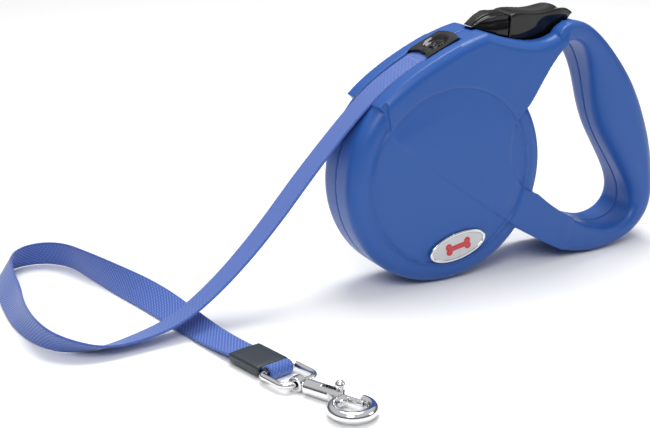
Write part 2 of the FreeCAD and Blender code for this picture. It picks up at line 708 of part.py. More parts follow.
# ------------------------------------------------------------------ tape end
def tape_end_frame():
    """Place and heading of the tape's end: local X along the tape, Y left, Z up."""
    end = samples[-1][0]
    heading = (samples[-1][0] - samples[-2][0])
    heading.z = 0
    heading.normalize()
    angle = math.degrees(math.atan2(heading.y, heading.x))
    return FreeCAD.Placement(end, FreeCAD.Rotation(V(0, 0, 1), angle))


def build_tape_end():
    shapes = {}
    sleeve = Part.makeBox(sleeve_long, sleeve_w, sleeve_t, V(0, -sleeve_w / 2, -sleeve_t / 2))
    sleeve = sleeve.makeFillet(1.2, [e for e in sleeve.Edges if abs(e.tangentAt(0).x) > 0.9])
    throat = Part.makeBox(sleeve_long - 1.5, tape_w + 0.4, 3.0, V(1.5, -tape_w / 2 - 0.2, -1.5))
    shapes["tape_end_sleeve"] = sleeve.cut(throat)
    bar_x = sleeve_long + bar_gap
    bush_half = (tape_w - 1.0) / 2
    bush = cyl(ring_wire_r + bush_wall, -bush_half, bush_half, bar_x)
    bush = bush.cut(cyl(ring_wire_r + run_clear, -bush_half, bush_half, bar_x))
    shapes["loop_bush"] = bush
    loop_in = ring_wire_r + bush_wall
    loop_out = loop_in + tape_t
    width = tape_w - 1.6
    eye = Part.makeCylinder(loop_out, width, V(bar_x, -width / 2, 0), V(0, 1, 0))
    legs = Part.makeBox(bar_x - 2.0, width, 2 * loop_out, V(2.0, -width / 2, -loop_out))
    leg_line = [(2.0, -1.4), (2.0, 1.4), (sleeve_long, 1.4), (bar_x, loop_out), (bar_x, -loop_out),
                (sleeve_long, -1.4)]
    legs = legs.common(prism(leg_line, -width, width))
    strap = eye.fuse(legs)
    strap = strap.cut(Part.makeCylinder(loop_in, width + 2, V(bar_x, -width / 2 - 1, 0), V(0, 1, 0)))
    shapes["tape_end_loop"] = strap.removeSplitter()
    return shapes, bar_x


def build_ring(bar_x):
    """Rounded rectangular wire ring; its near side is the bar through the bush."""
    y = ring_wide / 2 - ring_wire_r
    far = bar_x + ring_long
    corner = ring_corner
    near_corner = 1.5
    edges = [Part.makeLine(V(bar_x, near_corner - y, 0), V(bar_x, y - near_corner, 0))]
    for side in (1, -1):
        corners = ((bar_x, 1, near_corner), (far, -1, corner))
        for x, inward, r in corners:
            k = r * (1 - math.sqrt(0.5))
            edges.append(Part.Arc(V(x, side * (y - r), 0), V(x + inward * k, side * (y - k), 0),
                                  V(x + inward * r, side * y, 0)).toShape())
        edges.append(Part.makeLine(V(bar_x + near_corner, side * y, 0), V(far - corner, side * y, 0)))
    edges.append(Part.makeLine(V(far, y - corner, 0), V(far, corner - y, 0)))
    wire = Part.Wire(Part.__sortEdges__(edges))
    start = wire.Edges[0].firstVertex(True).Point
    along = wire.Edges[0].tangentAt(wire.Edges[0].FirstParameter)
    circle = Part.Wire([Part.Circle(start, along, ring_wire_r).toShape()])
    return wire.makePipeShell([circle], True, False), far


def build_hook():
    """Bolt snap along X from the ring's far bar: swivel eye, barrel, hook, sliding bolt and its spring."""
    eye_r = ring_wire_r + eye_gap + eye_wall
    collar = eye_r + 1.2
    stem_end = collar + 2.8
    barrel_end = collar + barrel_long
    bore = Part.makeCylinder(ring_wire_r + eye_gap, eye_w + 2, V(0, -eye_w / 2 - 1, 0), V(0, 1, 0))
    eye = Part.makeCylinder(eye_r, eye_w, V(0, -eye_w / 2, 0), V(0, 1, 0))
    stem = Part.makeCylinder(stem_r, stem_end, V(0, 0, 0), V(1, 0, 0))
    head = Part.makeCylinder(stem_head_r, stem_head_t, V(stem_end - stem_head_t, 0, 0), V(1, 0, 0))
    swivel = eye.fuse([stem, head]).cut(bore).removeSplitter()

    barrel = Part.makeCylinder(barrel_r, barrel_long, V(collar, 0, 0), V(1, 0, 0))
    hoop_x = barrel_end + math.sqrt(hoop_r ** 2 - hoop_aside ** 2) + 2.3
    hoop = Part.makeTorus(hoop_r, hoop_wire_r, V(hoop_x, -hoop_aside, 0), V(0, 0, 1))
    mouth = Part.makeBox(hoop_x - 0.5 - barrel_end, 12.0, 8.0, V(barrel_end, -bolt_r - 0.6, -4.0))
    web_half = hoop_wire_r * 0.7
    web_line = [(barrel_end - web_long, 0), (barrel_end, 0), (barrel_end + 0.6, -bolt_r - 0.6),
                (hoop_x - hoop_r * 0.75, -hoop_aside), (hoop_x - hoop_r, -hoop_aside - 0.5),
                (barrel_end - web_long, -barrel_r + 0.3)]
    web = Part.Face(Part.makePolygon([V(x, y, -web_half) for x, y in web_line + web_line[:1]]))
    body = barrel.fuse([hoop.cut(mouth), web.extrude(V(0, 0, 2 * web_half))]).removeSplitter()
    body = body.cut(Part.makeCylinder(stem_r + run_clear, 3.0, V(collar, 0, 0), V(1, 0, 0)))
    head_start = V(stem_end - stem_head_t - run_clear, 0, 0)
    chamber = Part.makeCylinder(stem_head_r + run_clear, stem_head_t + 2 * run_clear, head_start, V(1, 0, 0))
    body = body.cut(chamber)
    bore_start = stem_end + 1.0
    bolt_end = hoop_x + 1.2
    bore_long = bolt_end + 0.1 - bore_start
    body = body.cut(Part.makeCylinder(bolt_r + run_clear, bore_long, V(bore_start, 0, 0), V(1, 0, 0)))
    knob_x = barrel_end - 1.2
    slot_start = knob_x - bolt_travel - knob_r - 0.25
    slot = knob_r + 0.15
    body = body.cut(Part.makeBox(barrel_end - slot_start, 2 * slot, 6.0, V(slot_start, -slot, 0)))
    bolt_start = bolt_end - bolt_long
    bolt = Part.makeCylinder(bolt_r, bolt_long, V(bolt_start, 0, 0), V(1, 0, 0))
    knob = Part.makeCylinder(knob_r, knob_high, V(knob_x, 0, 0), V(0, 0, 1))
    ball = Part.makeSphere(knob_ball_r, V(knob_x, 0, knob_high))
    bolt = bolt.fuse([knob, ball]).removeSplitter()
    spring_long = bolt_start - bore_start - 0.2
    spring_foot = V(bore_start + 0.1, 0, 0)
    spring = coil(spring_foot, (1, 0, 0), bolt_spring_r, bolt_wire_r, spring_long, bolt_spring_turns)
    return {"hook_swivel": swivel, "snap_hook_body": largest(body), "snap_hook_bolt": bolt,
            "snap_bolt_spring": spring}


# ------------------------------------------------------------------ save
STAND = V(-handle_reach / 2, 0, disc_r)


def save(name, shape, on_stand=True):
    piece = shape.copy()
    if on_stand:
        piece.translate(STAND)
    if not piece.isValid():
        print("not valid:", name)
    piece.exportStep("parts/%s.step" % name)
    print("%-20s solids %d volume %.1f" % (name, len(piece.Solids), piece.Volume))


os.makedirs("parts", exist_ok=True)
near, far_shell = build_casing()
save("near_shell", near)
save("far_shell", far_shell)
save("housing_screws", build_screws())
drum, cover, roll, pin, strip, arbor = build_spool()
save("spool_drum", drum)
save("spool_cover", cover)
save("tape_roll", roll)
save("tape_anchor_pin", pin)
save("power_spring", strip)
save("spool_arbor", arbor)
lever, pawl, pivot_pin, brake_spring = build_brake()
save("brake_button", lever)
save("brake_pawl", pawl)
save("brake_pivot_pin", pivot_pin)
save("brake_spring", brake_spring)
save("lock_slider", build_lock())
save("tape_guide", build_guide())
rim, plate, emblem = build_badge()
save("badge_rim", rim)
save("badge_plate", plate)
save("badge_emblem", emblem)
save("inner_tape", build_inner_tape())
free_tape = band(samples, tape_w, tape_t)
save("leash_tape", free_tape, False)
end_place = tape_end_frame()
pieces, bar_x = build_tape_end()
ring, ring_far = build_ring(bar_x)
pieces["swivel_ring"] = ring
hook_place = FreeCAD.Placement(V(ring_far, eye_aside, 0), FreeCAD.Rotation(V(0, 0, 1), hook_turn))
for name, shape in build_hook().items():
    shape.Placement = hook_place.multiply(shape.Placement)
    pieces[name] = shape
for name, shape in pieces.items():
    shape.Placement = end_place.multiply(shape.Placement)
    save(name, shape, False)
print("tape end at", end_place.Base, "turned", math.degrees(end_place.Rotation.Angle))
print("ring bars at", bar_x, ring_far)
print("radii", [round(r, 1) for r in route_radii])
wound_length = math.pi * (roll_r ** 2 - core_r ** 2) / tape_t
print("free tape", round(free_length, 1), "wound tape", round(wound_length))
print("free tape's volume share", round(free_tape.Volume / (tape_w * tape_t * free_length), 3))
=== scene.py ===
"""Looks of the retractable leash: blue moulded casing, black gloss controls, woven tape and chrome snap."""
import json
import math

import bmesh
import bpy
from mathutils import Matrix, Vector

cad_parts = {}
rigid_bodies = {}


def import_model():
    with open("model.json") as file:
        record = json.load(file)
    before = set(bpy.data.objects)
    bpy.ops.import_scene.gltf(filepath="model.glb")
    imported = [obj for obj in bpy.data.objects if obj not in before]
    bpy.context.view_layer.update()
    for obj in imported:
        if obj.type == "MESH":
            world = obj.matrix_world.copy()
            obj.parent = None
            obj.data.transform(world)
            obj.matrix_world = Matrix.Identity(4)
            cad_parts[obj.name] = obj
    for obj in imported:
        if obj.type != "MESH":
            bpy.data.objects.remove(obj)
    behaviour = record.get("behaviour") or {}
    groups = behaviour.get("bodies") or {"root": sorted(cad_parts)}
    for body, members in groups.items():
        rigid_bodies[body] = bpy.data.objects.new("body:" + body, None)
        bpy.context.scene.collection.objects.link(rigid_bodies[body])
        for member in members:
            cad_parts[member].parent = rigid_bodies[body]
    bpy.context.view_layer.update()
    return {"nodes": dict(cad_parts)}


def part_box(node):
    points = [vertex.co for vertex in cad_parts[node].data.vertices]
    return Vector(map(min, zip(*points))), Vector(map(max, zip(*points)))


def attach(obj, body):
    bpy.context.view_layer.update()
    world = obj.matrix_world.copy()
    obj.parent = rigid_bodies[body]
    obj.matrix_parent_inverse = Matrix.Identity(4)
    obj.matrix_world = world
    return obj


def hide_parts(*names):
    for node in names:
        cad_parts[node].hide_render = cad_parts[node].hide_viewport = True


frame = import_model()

mm = 0.001
merge_gap = 2e-6

# ------------------------------------------------------------------ sizes shared with the CAD pieces
tape_width = 12.0 * mm
tape_thick = 0.9 * mm
drum_centre = Vector((-32.0, 0.0, 46.0)) * mm
ring_line_r = 37.0 * mm
plate_face = 15.0 * mm      # half width over the raised plate that carries the handle
drum_face = 14.5 * mm       # half width over the drum's round faces
sleeve_size = Vector((17.2, 14.4, 3.8)) * mm
bush_gap = 2.6 * mm         # from the sleeve to the middle of the ring's bar

# The tape's route: place in metres, and the lean of its left edge in degrees.
tape_route = [
    (-0.0420, 0.0, 0.0932, 0), (-0.0550, 0.0, 0.0870, 0), (-0.0700, 0.0, 0.0750, 0),
    (-0.0900, 0.0, 0.0545, 1), (-0.1110, -0.0025, 0.0330, 5), (-0.1310, -0.0060, 0.0172, 9),
    (-0.1510, -0.0100, 0.0064, 10), (-0.1690, -0.0120, 0.0030, 13), (-0.1850, -0.0135, 0.0028, 25),
    (-0.1970, -0.0090, 0.0054, 54), (-0.2025, 0.0040, 0.0064, 82), (-0.2030, 0.0230, 0.0061, 108),
    (-0.1995, 0.0440, 0.0051, 128), (-0.1970, 0.0610, 0.0053, 127), (-0.1925, 0.0780, 0.0057, 121),
    (-0.1840, 0.0855, 0.0059, 117), (-0.1730, 0.0855, 0.0060, 112), (-0.1650, 0.0775, 0.0062, 105),
    (-0.1615, 0.0620, 0.0064, 94), (-0.1565, 0.0410, 0.0060, 74), (-0.1495, 0.0170, 0.0048, 44),
    (-0.1450, -0.0060, 0.0025, 18), (-0.1420, -0.0260, 0.0019, 7), (-0.1388, -0.0410, 0.0029, 0),
]


# ------------------------------------------------------------------ camera
def set_camera():
    """Camera in front of the casing, to its left and above it."""
    look_down = 19.16
    look_right = 28.50
    data = bpy.data.cameras.new("camera")
    data.lens = 82.0
    data.sensor_width = 36.0
    data.clip_end = 20.0
    camera = bpy.data.objects.new("camera", data)
    camera.location = (-0.3491, -0.4905, 0.2284)
    camera.rotation_euler = (math.radians(90.0 - look_down), 0.0, math.radians(-look_right))
    bpy.context.collection.objects.link(camera)
    bpy.context.scene.camera = camera


# ------------------------------------------------------------------ mesh helpers
def clear_choice():
    """Leave nothing selected, so that the next operator acts on what it makes."""
    for other in bpy.context.view_layer.objects:
        other.select_set(False)


def choose(*objects):
    """Leave only these objects selected, the last one active."""
    clear_choice()
    for piece in objects:
        piece.select_set(True)
    bpy.context.view_layer.objects.active = objects[-1]


def apply(piece, kind, **values):
    """Add a modifier with these values and apply it."""
    choose(piece)
    modifier = piece.modifiers.new(kind.lower(), kind)
    for name, value in values.items():
        setattr(modifier, name, value)
    bpy.ops.object.modifier_apply(modifier=modifier.name)


def copy_of(node, name):
    """A merged copy of a CAD node's mesh in an object of its own."""
    piece = bpy.data.objects.new(name, frame["nodes"][node].data.copy())
    bpy.context.collection.objects.link(piece)
    piece.data.materials.clear()
    choose(piece)
    bpy.ops.object.mode_set(mode="EDIT")
    bpy.ops.mesh.select_all(action="SELECT")
    bpy.ops.mesh.remove_doubles(threshold=merge_gap)
    bpy.ops.object.mode_set(mode="OBJECT")
    return piece


def mould(node, name, voxel, smooth, most=190000):
    """A CAD node as it leaves the mould: its edges and inner corners a little rounded."""
    piece = copy_of(node, name)
    apply(piece, "REMESH", mode="VOXEL", voxel_size=voxel, use_smooth_shade=True)
    apply(piece, "SMOOTH", factor=0.5, iterations=smooth)
    triangles = 2 * len(piece.data.polygons)
    if triangles > most:
        apply(piece, "DECIMATE", ratio=most / triangles)
    choose(piece)
    bpy.ops.object.shade_smooth()
    return piece


def settle(piece):
    """Put the piece's place into its mesh."""
    piece.data.transform(piece.matrix_basis)
    piece.matrix_basis = Matrix.Identity(4)


def finish_piece(piece, material, body, slot, *nodes):
    """Give the piece its material and its body, and put it in place of these nodes. The slot argument is not
    used.
    """
    piece.data.materials.clear()
    piece.data.materials.append(material)
    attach(piece, body)
    if nodes:
        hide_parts(*nodes)
    return piece


# ------------------------------------------------------------------ shader helpers
def new_group(name, inputs, outputs):
    """A shader node group with named number or vector sockets."""
    group = bpy.data.node_groups.new(name, "ShaderNodeTree")
    for label, kind, value in inputs:
        socket = group.interface.new_socket(label, in_out="INPUT", socket_type=kind)
        if value is not None:
            socket.default_value = value
    for label, kind in outputs:
        group.interface.new_socket(label, in_out="OUTPUT", socket_type=kind)
    start = group.nodes.new("NodeGroupInput")
    end = group.nodes.new("NodeGroupOutput")
    return group, start, end


def node(tree, kind, values=(), **settings):
    """A new shader node with these settings and socket values."""
    item = tree.nodes.new(kind)
    for name, value in settings.items():
        setattr(item, name, value)
    for label, value in values:
        item.inputs[label].default_value = value
    return item


def link(tree, a, out, b, into):
    tree.links.new(a.outputs[out], b.inputs[into])


def maths(tree, operation, a, b=None):
    """A Math node on sockets or numbers."""
    item = tree.nodes.new("ShaderNodeMath")
    item.operation = operation
    for index, value in enumerate((a, b)):
        if value is None:
            continue
        if isinstance(value, (int, float)):
            item.inputs[index].default_value = value
        else:
            tree.links.new(value, item.inputs[index])
    return item.outputs[0]


def ripple(tree, distance, spacing, turn):
    """A wave from 0 to 1 that goes through this turn once in each spacing."""
    phase = maths(tree, "MULTIPLY", maths(tree, "DIVIDE", distance, spacing), turn)
    return maths(tree, "ADD", maths(tree, "MULTIPLY", maths(tree, "SINE", phase), 0.5), 0.5)


def make_skin_group():
    """Moulded surface: fine grain, slow waviness and faint handling marks."""
    group, start, end = new_group(
        "moulded skin",
        [("Grain per metre", "NodeSocketFloat", 2600.0), ("Grain height", "NodeSocketFloat", 0.3),
         ("Base roughness", "NodeSocketFloat", 0.4), ("Mark strength", "NodeSocketFloat", 0.1)],
        [("Height", "NodeSocketFloat"), ("Roughness", "NodeSocketFloat"), ("Shade", "NodeSocketFloat")])
    place = node(group, "ShaderNodeTexCoord")
    grain = node(group, "ShaderNodeTexNoise", [("Detail", 3.0), ("Roughness", 0.6)])
    wave = node(group, "ShaderNodeTexNoise", [("Scale", 55.0), ("Detail", 2.0)])
    marks = node(group, "ShaderNodeTexNoise", [("Scale", 210.0), ("Detail", 6.0), ("Roughness", 0.7),
                                               ("Distortion", 0.8)])
    link(group, place, "Object", grain, "Vector")
    link(group, place, "Object", wave, "Vector")
    link(group, place, "Object", marks, "Vector")
    link(group, start, "Grain per metre", grain, "Scale")
    high = maths(group, "MULTIPLY", grain.outputs["Fac"], start.outputs["Grain height"])
    slow = maths(group, "MULTIPLY", wave.outputs["Fac"], 0.25)
    group.links.new(maths(group, "ADD", high, slow), end.inputs["Height"])
    spread = maths(group, "SUBTRACT", marks.outputs["Fac"], 0.5)
    spread = maths(group, "MULTIPLY", spread, start.outputs["Mark strength"])
    group.links.new(maths(group, "ADD", start.outputs["Base roughness"], spread), end.inputs["Roughness"])
    shade = maths(group, "ADD", maths(group, "MULTIPLY", wave.outputs["Fac"], 0.6),
                  maths(group, "MULTIPLY", marks.outputs["Fac"], 0.4))
    group.links.new(shade, end.inputs["Shade"])
    return group


def make_weave_group():
    """Woven tape, from a map in centimetres along and across: diagonal ribs, stitches and plain selvedges."""
    group, start, end = new_group(
        "woven twill",
        [("Rib spacing", "NodeSocketFloat", 0.115), ("Half width", "NodeSocketFloat", 0.6)],
        [("Height", "NodeSocketFloat"), ("Thread", "NodeSocketFloat")])
    place = node(group, "ShaderNodeUVMap", uv_map="weave")
    split = node(group, "ShaderNodeSeparateXYZ")
    link(group, place, "UV", split, "Vector")
    along = split.outputs["X"]
    across = split.outputs["Y"]
    spacing = start.outputs["Rib spacing"]
    turn = 2 * math.pi
    warp_turn = turn * 1.25
    lean = math.radians(52.0)
    selvedge_width = 0.07
    diagonal = maths(group, "ADD", maths(group, "MULTIPLY", along, math.cos(lean)),
                     maths(group, "MULTIPLY", across, math.sin(lean)))
    rib = ripple(group, diagonal, spacing, turn)
    pick = ripple(group, along, spacing, turn)
    warp = ripple(group, across, spacing, warp_turn)
    stitch = maths(group, "MULTIPLY", rib, maths(group, "ADD", maths(group, "MULTIPLY", warp, 0.55), 0.45))
    from_edge = maths(group, "SUBTRACT", start.outputs["Half width"], maths(group, "ABSOLUTE", across))
    selvedge = maths(group, "LESS_THAN", from_edge, selvedge_width)
    body = maths(group, "SUBTRACT", 1.0, selvedge)
    surface = maths(group, "ADD", maths(group, "MULTIPLY", stitch, body),
                    maths(group, "MULTIPLY", pick, selvedge))
    fuzz = node(group, "ShaderNodeTexNoise", [("Scale", 60.0), ("Detail", 5.0), ("Roughness", 0.7)])
    link(group, place, "UV", fuzz, "Vector")
    surface = maths(group, "ADD", surface, maths(group, "MULTIPLY", fuzz.outputs["Fac"], 0.25))
    group.links.new(surface, end.inputs["Height"])
    thread = maths(group, "POWER", stitch, 1.6)
    group.links.new(maths(group, "MULTIPLY", thread, body), end.inputs["Thread"])
    return group


def plain_material(name, colour, metallic=0.0, roughness=0.4, **sockets):
    """A material and its shader, with these values on the shader's own sockets."""
    material = bpy.data.materials.new(name)
    material.use_nodes = True
    shader = material.node_tree.nodes["Principled BSDF"]
    shader.inputs["Base Color"].default_value = (*colour, 1.0)
    shader.inputs["Metallic"].default_value = metallic
    shader.inputs["Roughness"].default_value = roughness
    for label, value in sockets.items():
        shader.inputs[label.replace("_", " ")].default_value = value
    return material, shader


def add_skin(tree, shader, roughness, grain, height, marks):
    """The moulded skin with its own values, feeding the shader's roughness."""
    skin = node(tree, "ShaderNodeGroup", node_tree=skin_group)
    skin.inputs["Grain per metre"].default_value = grain
    skin.inputs["Grain height"].default_value = height
    skin.inputs["Base roughness"].default_value = roughness
    skin.inputs["Mark strength"].default_value = marks
    link(tree, skin, "Roughness", shader, "Roughness")
    return skin


def add_drift(tree, shader, source, output, first, second):
    """Base colour that goes from the first colour to the second by an output of the source."""
    mix = node(tree, "ShaderNodeMix", data_type="RGBA")
    mix.inputs["A"].default_value = (*first, 1.0)
    mix.inputs["B"].default_value = (*second, 1.0)
    link(tree, source, output, mix, "Factor")
    tree.links.new(mix.outputs["Result"], shader.inputs["Base Color"])


def add_relief(tree, shader, source, strength, distance):
    """The source's height as fine relief on the shader, its distance in metres."""
    relief = node(tree, "ShaderNodeBump", [("Strength", strength), ("Distance", distance)])
    link(tree, source, "Height", relief, "Height")
    link(tree, relief, "Normal", shader, "Normal")


def moulded(name, colour, lighter, roughness, grain, height, marks, bump=0.25, **sockets):
    """Moulded plastic or rubber with its own colour drift, grain and handling marks."""
    material, shader = plain_material(name, colour, roughness=roughness, **sockets)
    tree = material.node_tree
    skin = add_skin(tree, shader, roughness, grain, height, marks)
    add_drift(tree, shader, skin, "Shade", colour, lighter)
    add_relief(tree, shader, skin, strength=bump, distance=0.00012)
    return material


def metal(name, colour, roughness, marks):
    """Polished or turned metal with faint unevenness."""
    material, shader = plain_material(name, colour, metallic=1.0, roughness=roughness)
    tree = material.node_tree
    skin = add_skin(tree, shader, roughness, grain=900.0, height=0.4, marks=marks)
    add_relief(tree, shader, skin, strength=0.04, distance=0.0002)
    return material


def woven(name, ground, light, half_width):
    """Nylon tape in a fine twill, its ribs lighter than the ground between them."""
    material, shader = plain_material(name, ground, roughness=0.72, Sheen_Weight=0.35, Sheen_Roughness=0.4)
    tree = material.node_tree
    weave = node(tree, "ShaderNodeGroup", node_tree=weave_group)
    weave.inputs["Half width"].default_value = half_width
    add_drift(tree, shader, weave, "Thread", ground, light)
    add_relief(tree, shader, weave, strength=0.8, distance=0.00022)
    return material


# ------------------------------------------------------------------ materials
skin_group = make_skin_group()
weave_group = make_weave_group()
casing_blue = moulded("casing blue", (0.018, 0.088, 0.345), (0.023, 0.101, 0.380), roughness=0.36,
                      grain=3200.0, height=0.5, marks=0.14, bump=0.3, Specular_IOR_Level=0.38)
black_gloss = moulded("black gloss", (0.0035, 0.0035, 0.004), (0.006, 0.006, 0.007), roughness=0.10,
                      grain=1500.0, height=0.1, marks=0.10, bump=0.05, Specular_IOR_Level=0.45)
sleeve_rubber = moulded("sleeve rubber", (0.016, 0.024, 0.034), (0.028, 0.038, 0.050), roughness=0.40,
                        grain=4200.0, height=0.6, marks=0.18, bump=0.3)
bush_black = moulded("bush black", (0.010, 0.010, 0.011), (0.018, 0.018, 0.020), roughness=0.32,
                     grain=2600.0, height=0.3, marks=0.1)
spool_grey = moulded("spool grey", (0.26, 0.26, 0.27), (0.33, 0.33, 0.34), roughness=0.45,
                     grain=2400.0, height=0.4, marks=0.1)
badge_silver = moulded("badge silver", (0.52, 0.53, 0.54), (0.62, 0.63, 0.64), roughness=0.28,
                       grain=5200.0, height=0.5, marks=0.08, bump=0.15, Coat_Weight=0.8, Coat_Roughness=0.05)
badge_red = moulded("badge red", (0.50, 0.006, 0.012), (0.60, 0.010, 0.018), roughness=0.22,
                    grain=3000.0, height=0.2, marks=0.06, bump=0.1, Coat_Weight=0.7, Coat_Roughness=0.05)
bright_chrome = metal("bright chrome", (0.80, 0.80, 0.81), roughness=0.07, marks=0.06)
spring_steel = metal("spring steel", (0.42, 0.42, 0.44), roughness=0.28, marks=0.12)
pin_steel = metal("pin steel", (0.50, 0.50, 0.51), roughness=0.24, marks=0.1)
tape_blue = woven("tape blue", (0.045, 0.105, 0.40), (0.16, 0.26, 0.66), half_width=0.60)
loop_blue = woven("loop blue", (0.045, 0.105, 0.40), (0.13, 0.23, 0.62), half_width=0.52)


# ------------------------------------------------------------------ casing and controls
def portion(low, high, value):
    """How far the value is on its way from low to high, kept between 0 and 1."""
    return min(max((value - low) / (high - low), 0.0), 1.0)


def smooth_step(low, high, value):
    """The same portion, eased at both ends."""
    share = portion(low, high, value)
    return share * share * (3 - 2 * share)


def sink_round_panel(shell):
    """Sink the round panel inside the ring line, deepest just inside the step all round."""
    wall_middle = 13.4 * mm     # the flat side lies outside this, and the inner wall inside it
    step = 0.8 * mm
    depth = 0.45 * mm
    trough = 0.6 * mm
    trough_width = 5.0 * mm
    for vertex in shell.data.vertices:
        if abs(vertex.co.y) < wall_middle:
            continue
        radius = math.hypot(vertex.co.x - drum_centre.x, vertex.co.z - drum_centre.z)
        inside = 1 - smooth_step(ring_line_r - step, ring_line_r, radius)
        near_step = 1 - smooth_step(0.0, trough_width, ring_line_r - step - radius)
        vertex.co.y -= math.copysign((depth + trough * near_step) * inside, vertex.co.y)


def make_casing():
    """Two shells, moulded and with their round panels sunk."""
    shell_voxel = 0.45 * mm
    for node_name, label in (("near_shell", "casing_near"), ("far_shell", "casing_far")):
        shell = mould(node_name, label, voxel=shell_voxel, smooth=4)
        sink_round_panel(shell)
        finish_piece(shell, casing_blue, "casing", "casing_blue", node_name)


def make_controls():
    """Thumb button, lock and tape guide, all in black gloss."""
    fine = 0.24 * mm
    button = mould("brake_button", "thumb_button", voxel=fine, smooth=5)
    shape_button(button)
    finish_piece(button, black_gloss, "brake", "black_gloss", "brake_button")
    slider = mould("lock_slider", "lock_wedge", voxel=fine, smooth=5)
    shape_lock(slider)
    finish_piece(slider, black_gloss, "lock", "black_gloss", "lock_slider")
    make_guide()


def shape_button(button):
    """Draw the flanks in below the rim, narrow the heel, and dish the top for the thumb."""
    half = 7.2 * mm
    front = -1.0 * mm
    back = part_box("brake_button")[1].x
    rim_height = 107.2 * mm
    rim_fall = 1.3 * mm
    flank_low = 96.5 * mm
    front_tuck = 0.10
    back_tuck = 0.22
    heel_start = 0.72
    heel_tuck = 0.26
    dish_low = 104.5 * mm
    dish_high = 107.0 * mm
    dish_deep = 1.5 * mm
    for vertex in button.data.vertices:
        place = vertex.co
        if place.x < front:
            continue
        along = portion(front, back, place.x)
        below = portion(rim_height - rim_fall * along, flank_low, place.z)
        tuck = 1 - (front_tuck + back_tuck * along) * below
        place.y *= tuck * (1 - heel_tuck * smooth_step(heel_start, 1.0, along))
        top = smooth_step(dish_low, dish_high, place.z)
        across = min(abs(place.y) / half, 1.0)
        place.z -= top * dish_deep * (1 - across ** 2) * smooth_step(0.02, 0.25, along)


def shape_lock(slider):
    """Slant the flanks and leave a low rib along the top."""
    half = 7.2 * mm
    foot = 102.0 * mm
    crest = 107.5 * mm
    slant = 0.14
    groove_low = 103.5 * mm
    groove_high = 106.5 * mm
    groove_deep = 0.9 * mm
    for vertex in slider.data.vertices:
        place = vertex.co
        place.y *= 1 - slant * smooth_step(foot, crest, place.z)
        top = smooth_step(groove_low, groove_high, place.z)
        across = min(abs(place.y) / half, 1.0)
        beside_rib = smooth_step(0.30, 0.42, across) * (1 - smooth_step(0.80, 0.95, across))
        place.z -= top * groove_deep * beside_rib


guide_half_long = 8.9       # the guide's sizes are in mm, and its mesh is scaled when it is made
guide_half_wide = 7.6


def guide_height(x, y):
    """Height of the guide's top over its own plane: a soft crown, an oval dish and a paw standing in it."""
    crown = 0.35
    end_drop = 0.36
    drop_start = 6.2
    dish_half_long = 6.4
    dish_half_wide = 5.6
    dish_deep = 1.25
    dish_step = 0.15
    pad_high = 0.75
    paw_pads = (            # place along and across, half length and half width
        (-1.1, 0.0, 1.7, 2.1),
        (0.8, -2.6, 1.0, 0.8),
        (2.3, -0.95, 1.1, 0.8),
        (2.3, 0.95, 1.1, 0.8),
        (0.8, 2.6, 1.0, 0.8),
    )
    height = crown * (1 - (y / guide_half_wide) ** 2)
    height -= end_drop * smooth_step(drop_start, guide_half_long, abs(x))
    oval = math.sqrt((x / dish_half_long) ** 2 + (y / dish_half_wide) ** 2)
    height -= dish_deep * (1 - smooth_step(0.55, 1.0, oval)) + dish_step * (1 - smooth_step(0.95, 1.06, oval))
    for pad_x, pad_y, long, wide in paw_pads:
        away = math.sqrt(((x - pad_x) / long) ** 2 + ((y - pad_y) / wide) ** 2)
        height += pad_high * (1 - smooth_step(0.5, 1.0, away))
    return height


def make_guide():
    """Gloss insert over the tape's mouth: curved ends, the front one hollow where the tape comes out."""
    front_hollow = 2.4
    rear_bow = 1.7
    corner_draw = 0.03
    clear_choice()
    bpy.ops.mesh.primitive_grid_add(x_subdivisions=130, y_subdivisions=110, size=2.0)
    guide = bpy.context.object
    guide.name = "guide_insert"
    for vertex in guide.data.vertices:
        side = vertex.co.y
        front = -guide_half_long + front_hollow * (1 - side * side)
        rear = guide_half_long - rear_bow * side * side
        x = front + (rear - front) * (vertex.co.x + 1) / 2
        y = side * guide_half_wide * (1 - corner_draw * abs(vertex.co.x) ** 6)
        vertex.co = Vector((x, y, guide_height(x, y))) * mm
    apply(guide, "SOLIDIFY", thickness=1.5 * mm, offset=-1.0, use_even_offset=True)
    apply(guide, "BEVEL", width=0.3 * mm, segments=3, limit_method="ANGLE", angle_limit=math.radians(55))
    lean = math.atan2(0.4, 0.917)
    middle = Vector((-33.05, 0.0, 98.75)) * mm
    guide.data.transform(Matrix.Translation(middle) @ Matrix.Rotation(-lean, 4, "Y"))
    choose(guide)
    bpy.ops.object.shade_smooth_by_angle(angle=math.radians(50))
    finish_piece(guide, black_gloss, "casing", "black_gloss", "tape_guide")


# ------------------------------------------------------------------ badge
badge_half_long = 12.95 * mm
badge_half_short = 5.25 * mm


def make_badge():
    """Oval badge low on the near face: rolled rim, domed face and a raised bone."""
    rim_sunk = 0.25 * mm
    bone_proud = 0.02 * mm
    low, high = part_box("badge_plate")
    middle = (low + high) / 2
    tilt = Matrix.Rotation(math.radians(-11.0), 4, "Y")
    make_badge_rim(Matrix.Translation((middle.x, -plate_face + rim_sunk, middle.z)) @ tilt)
    make_badge_face(Matrix.Translation((middle.x, -drum_face, middle.z)) @ tilt)
    make_badge_bone(Matrix.Translation((middle.x, -plate_face - bone_proud, middle.z)) @ tilt)


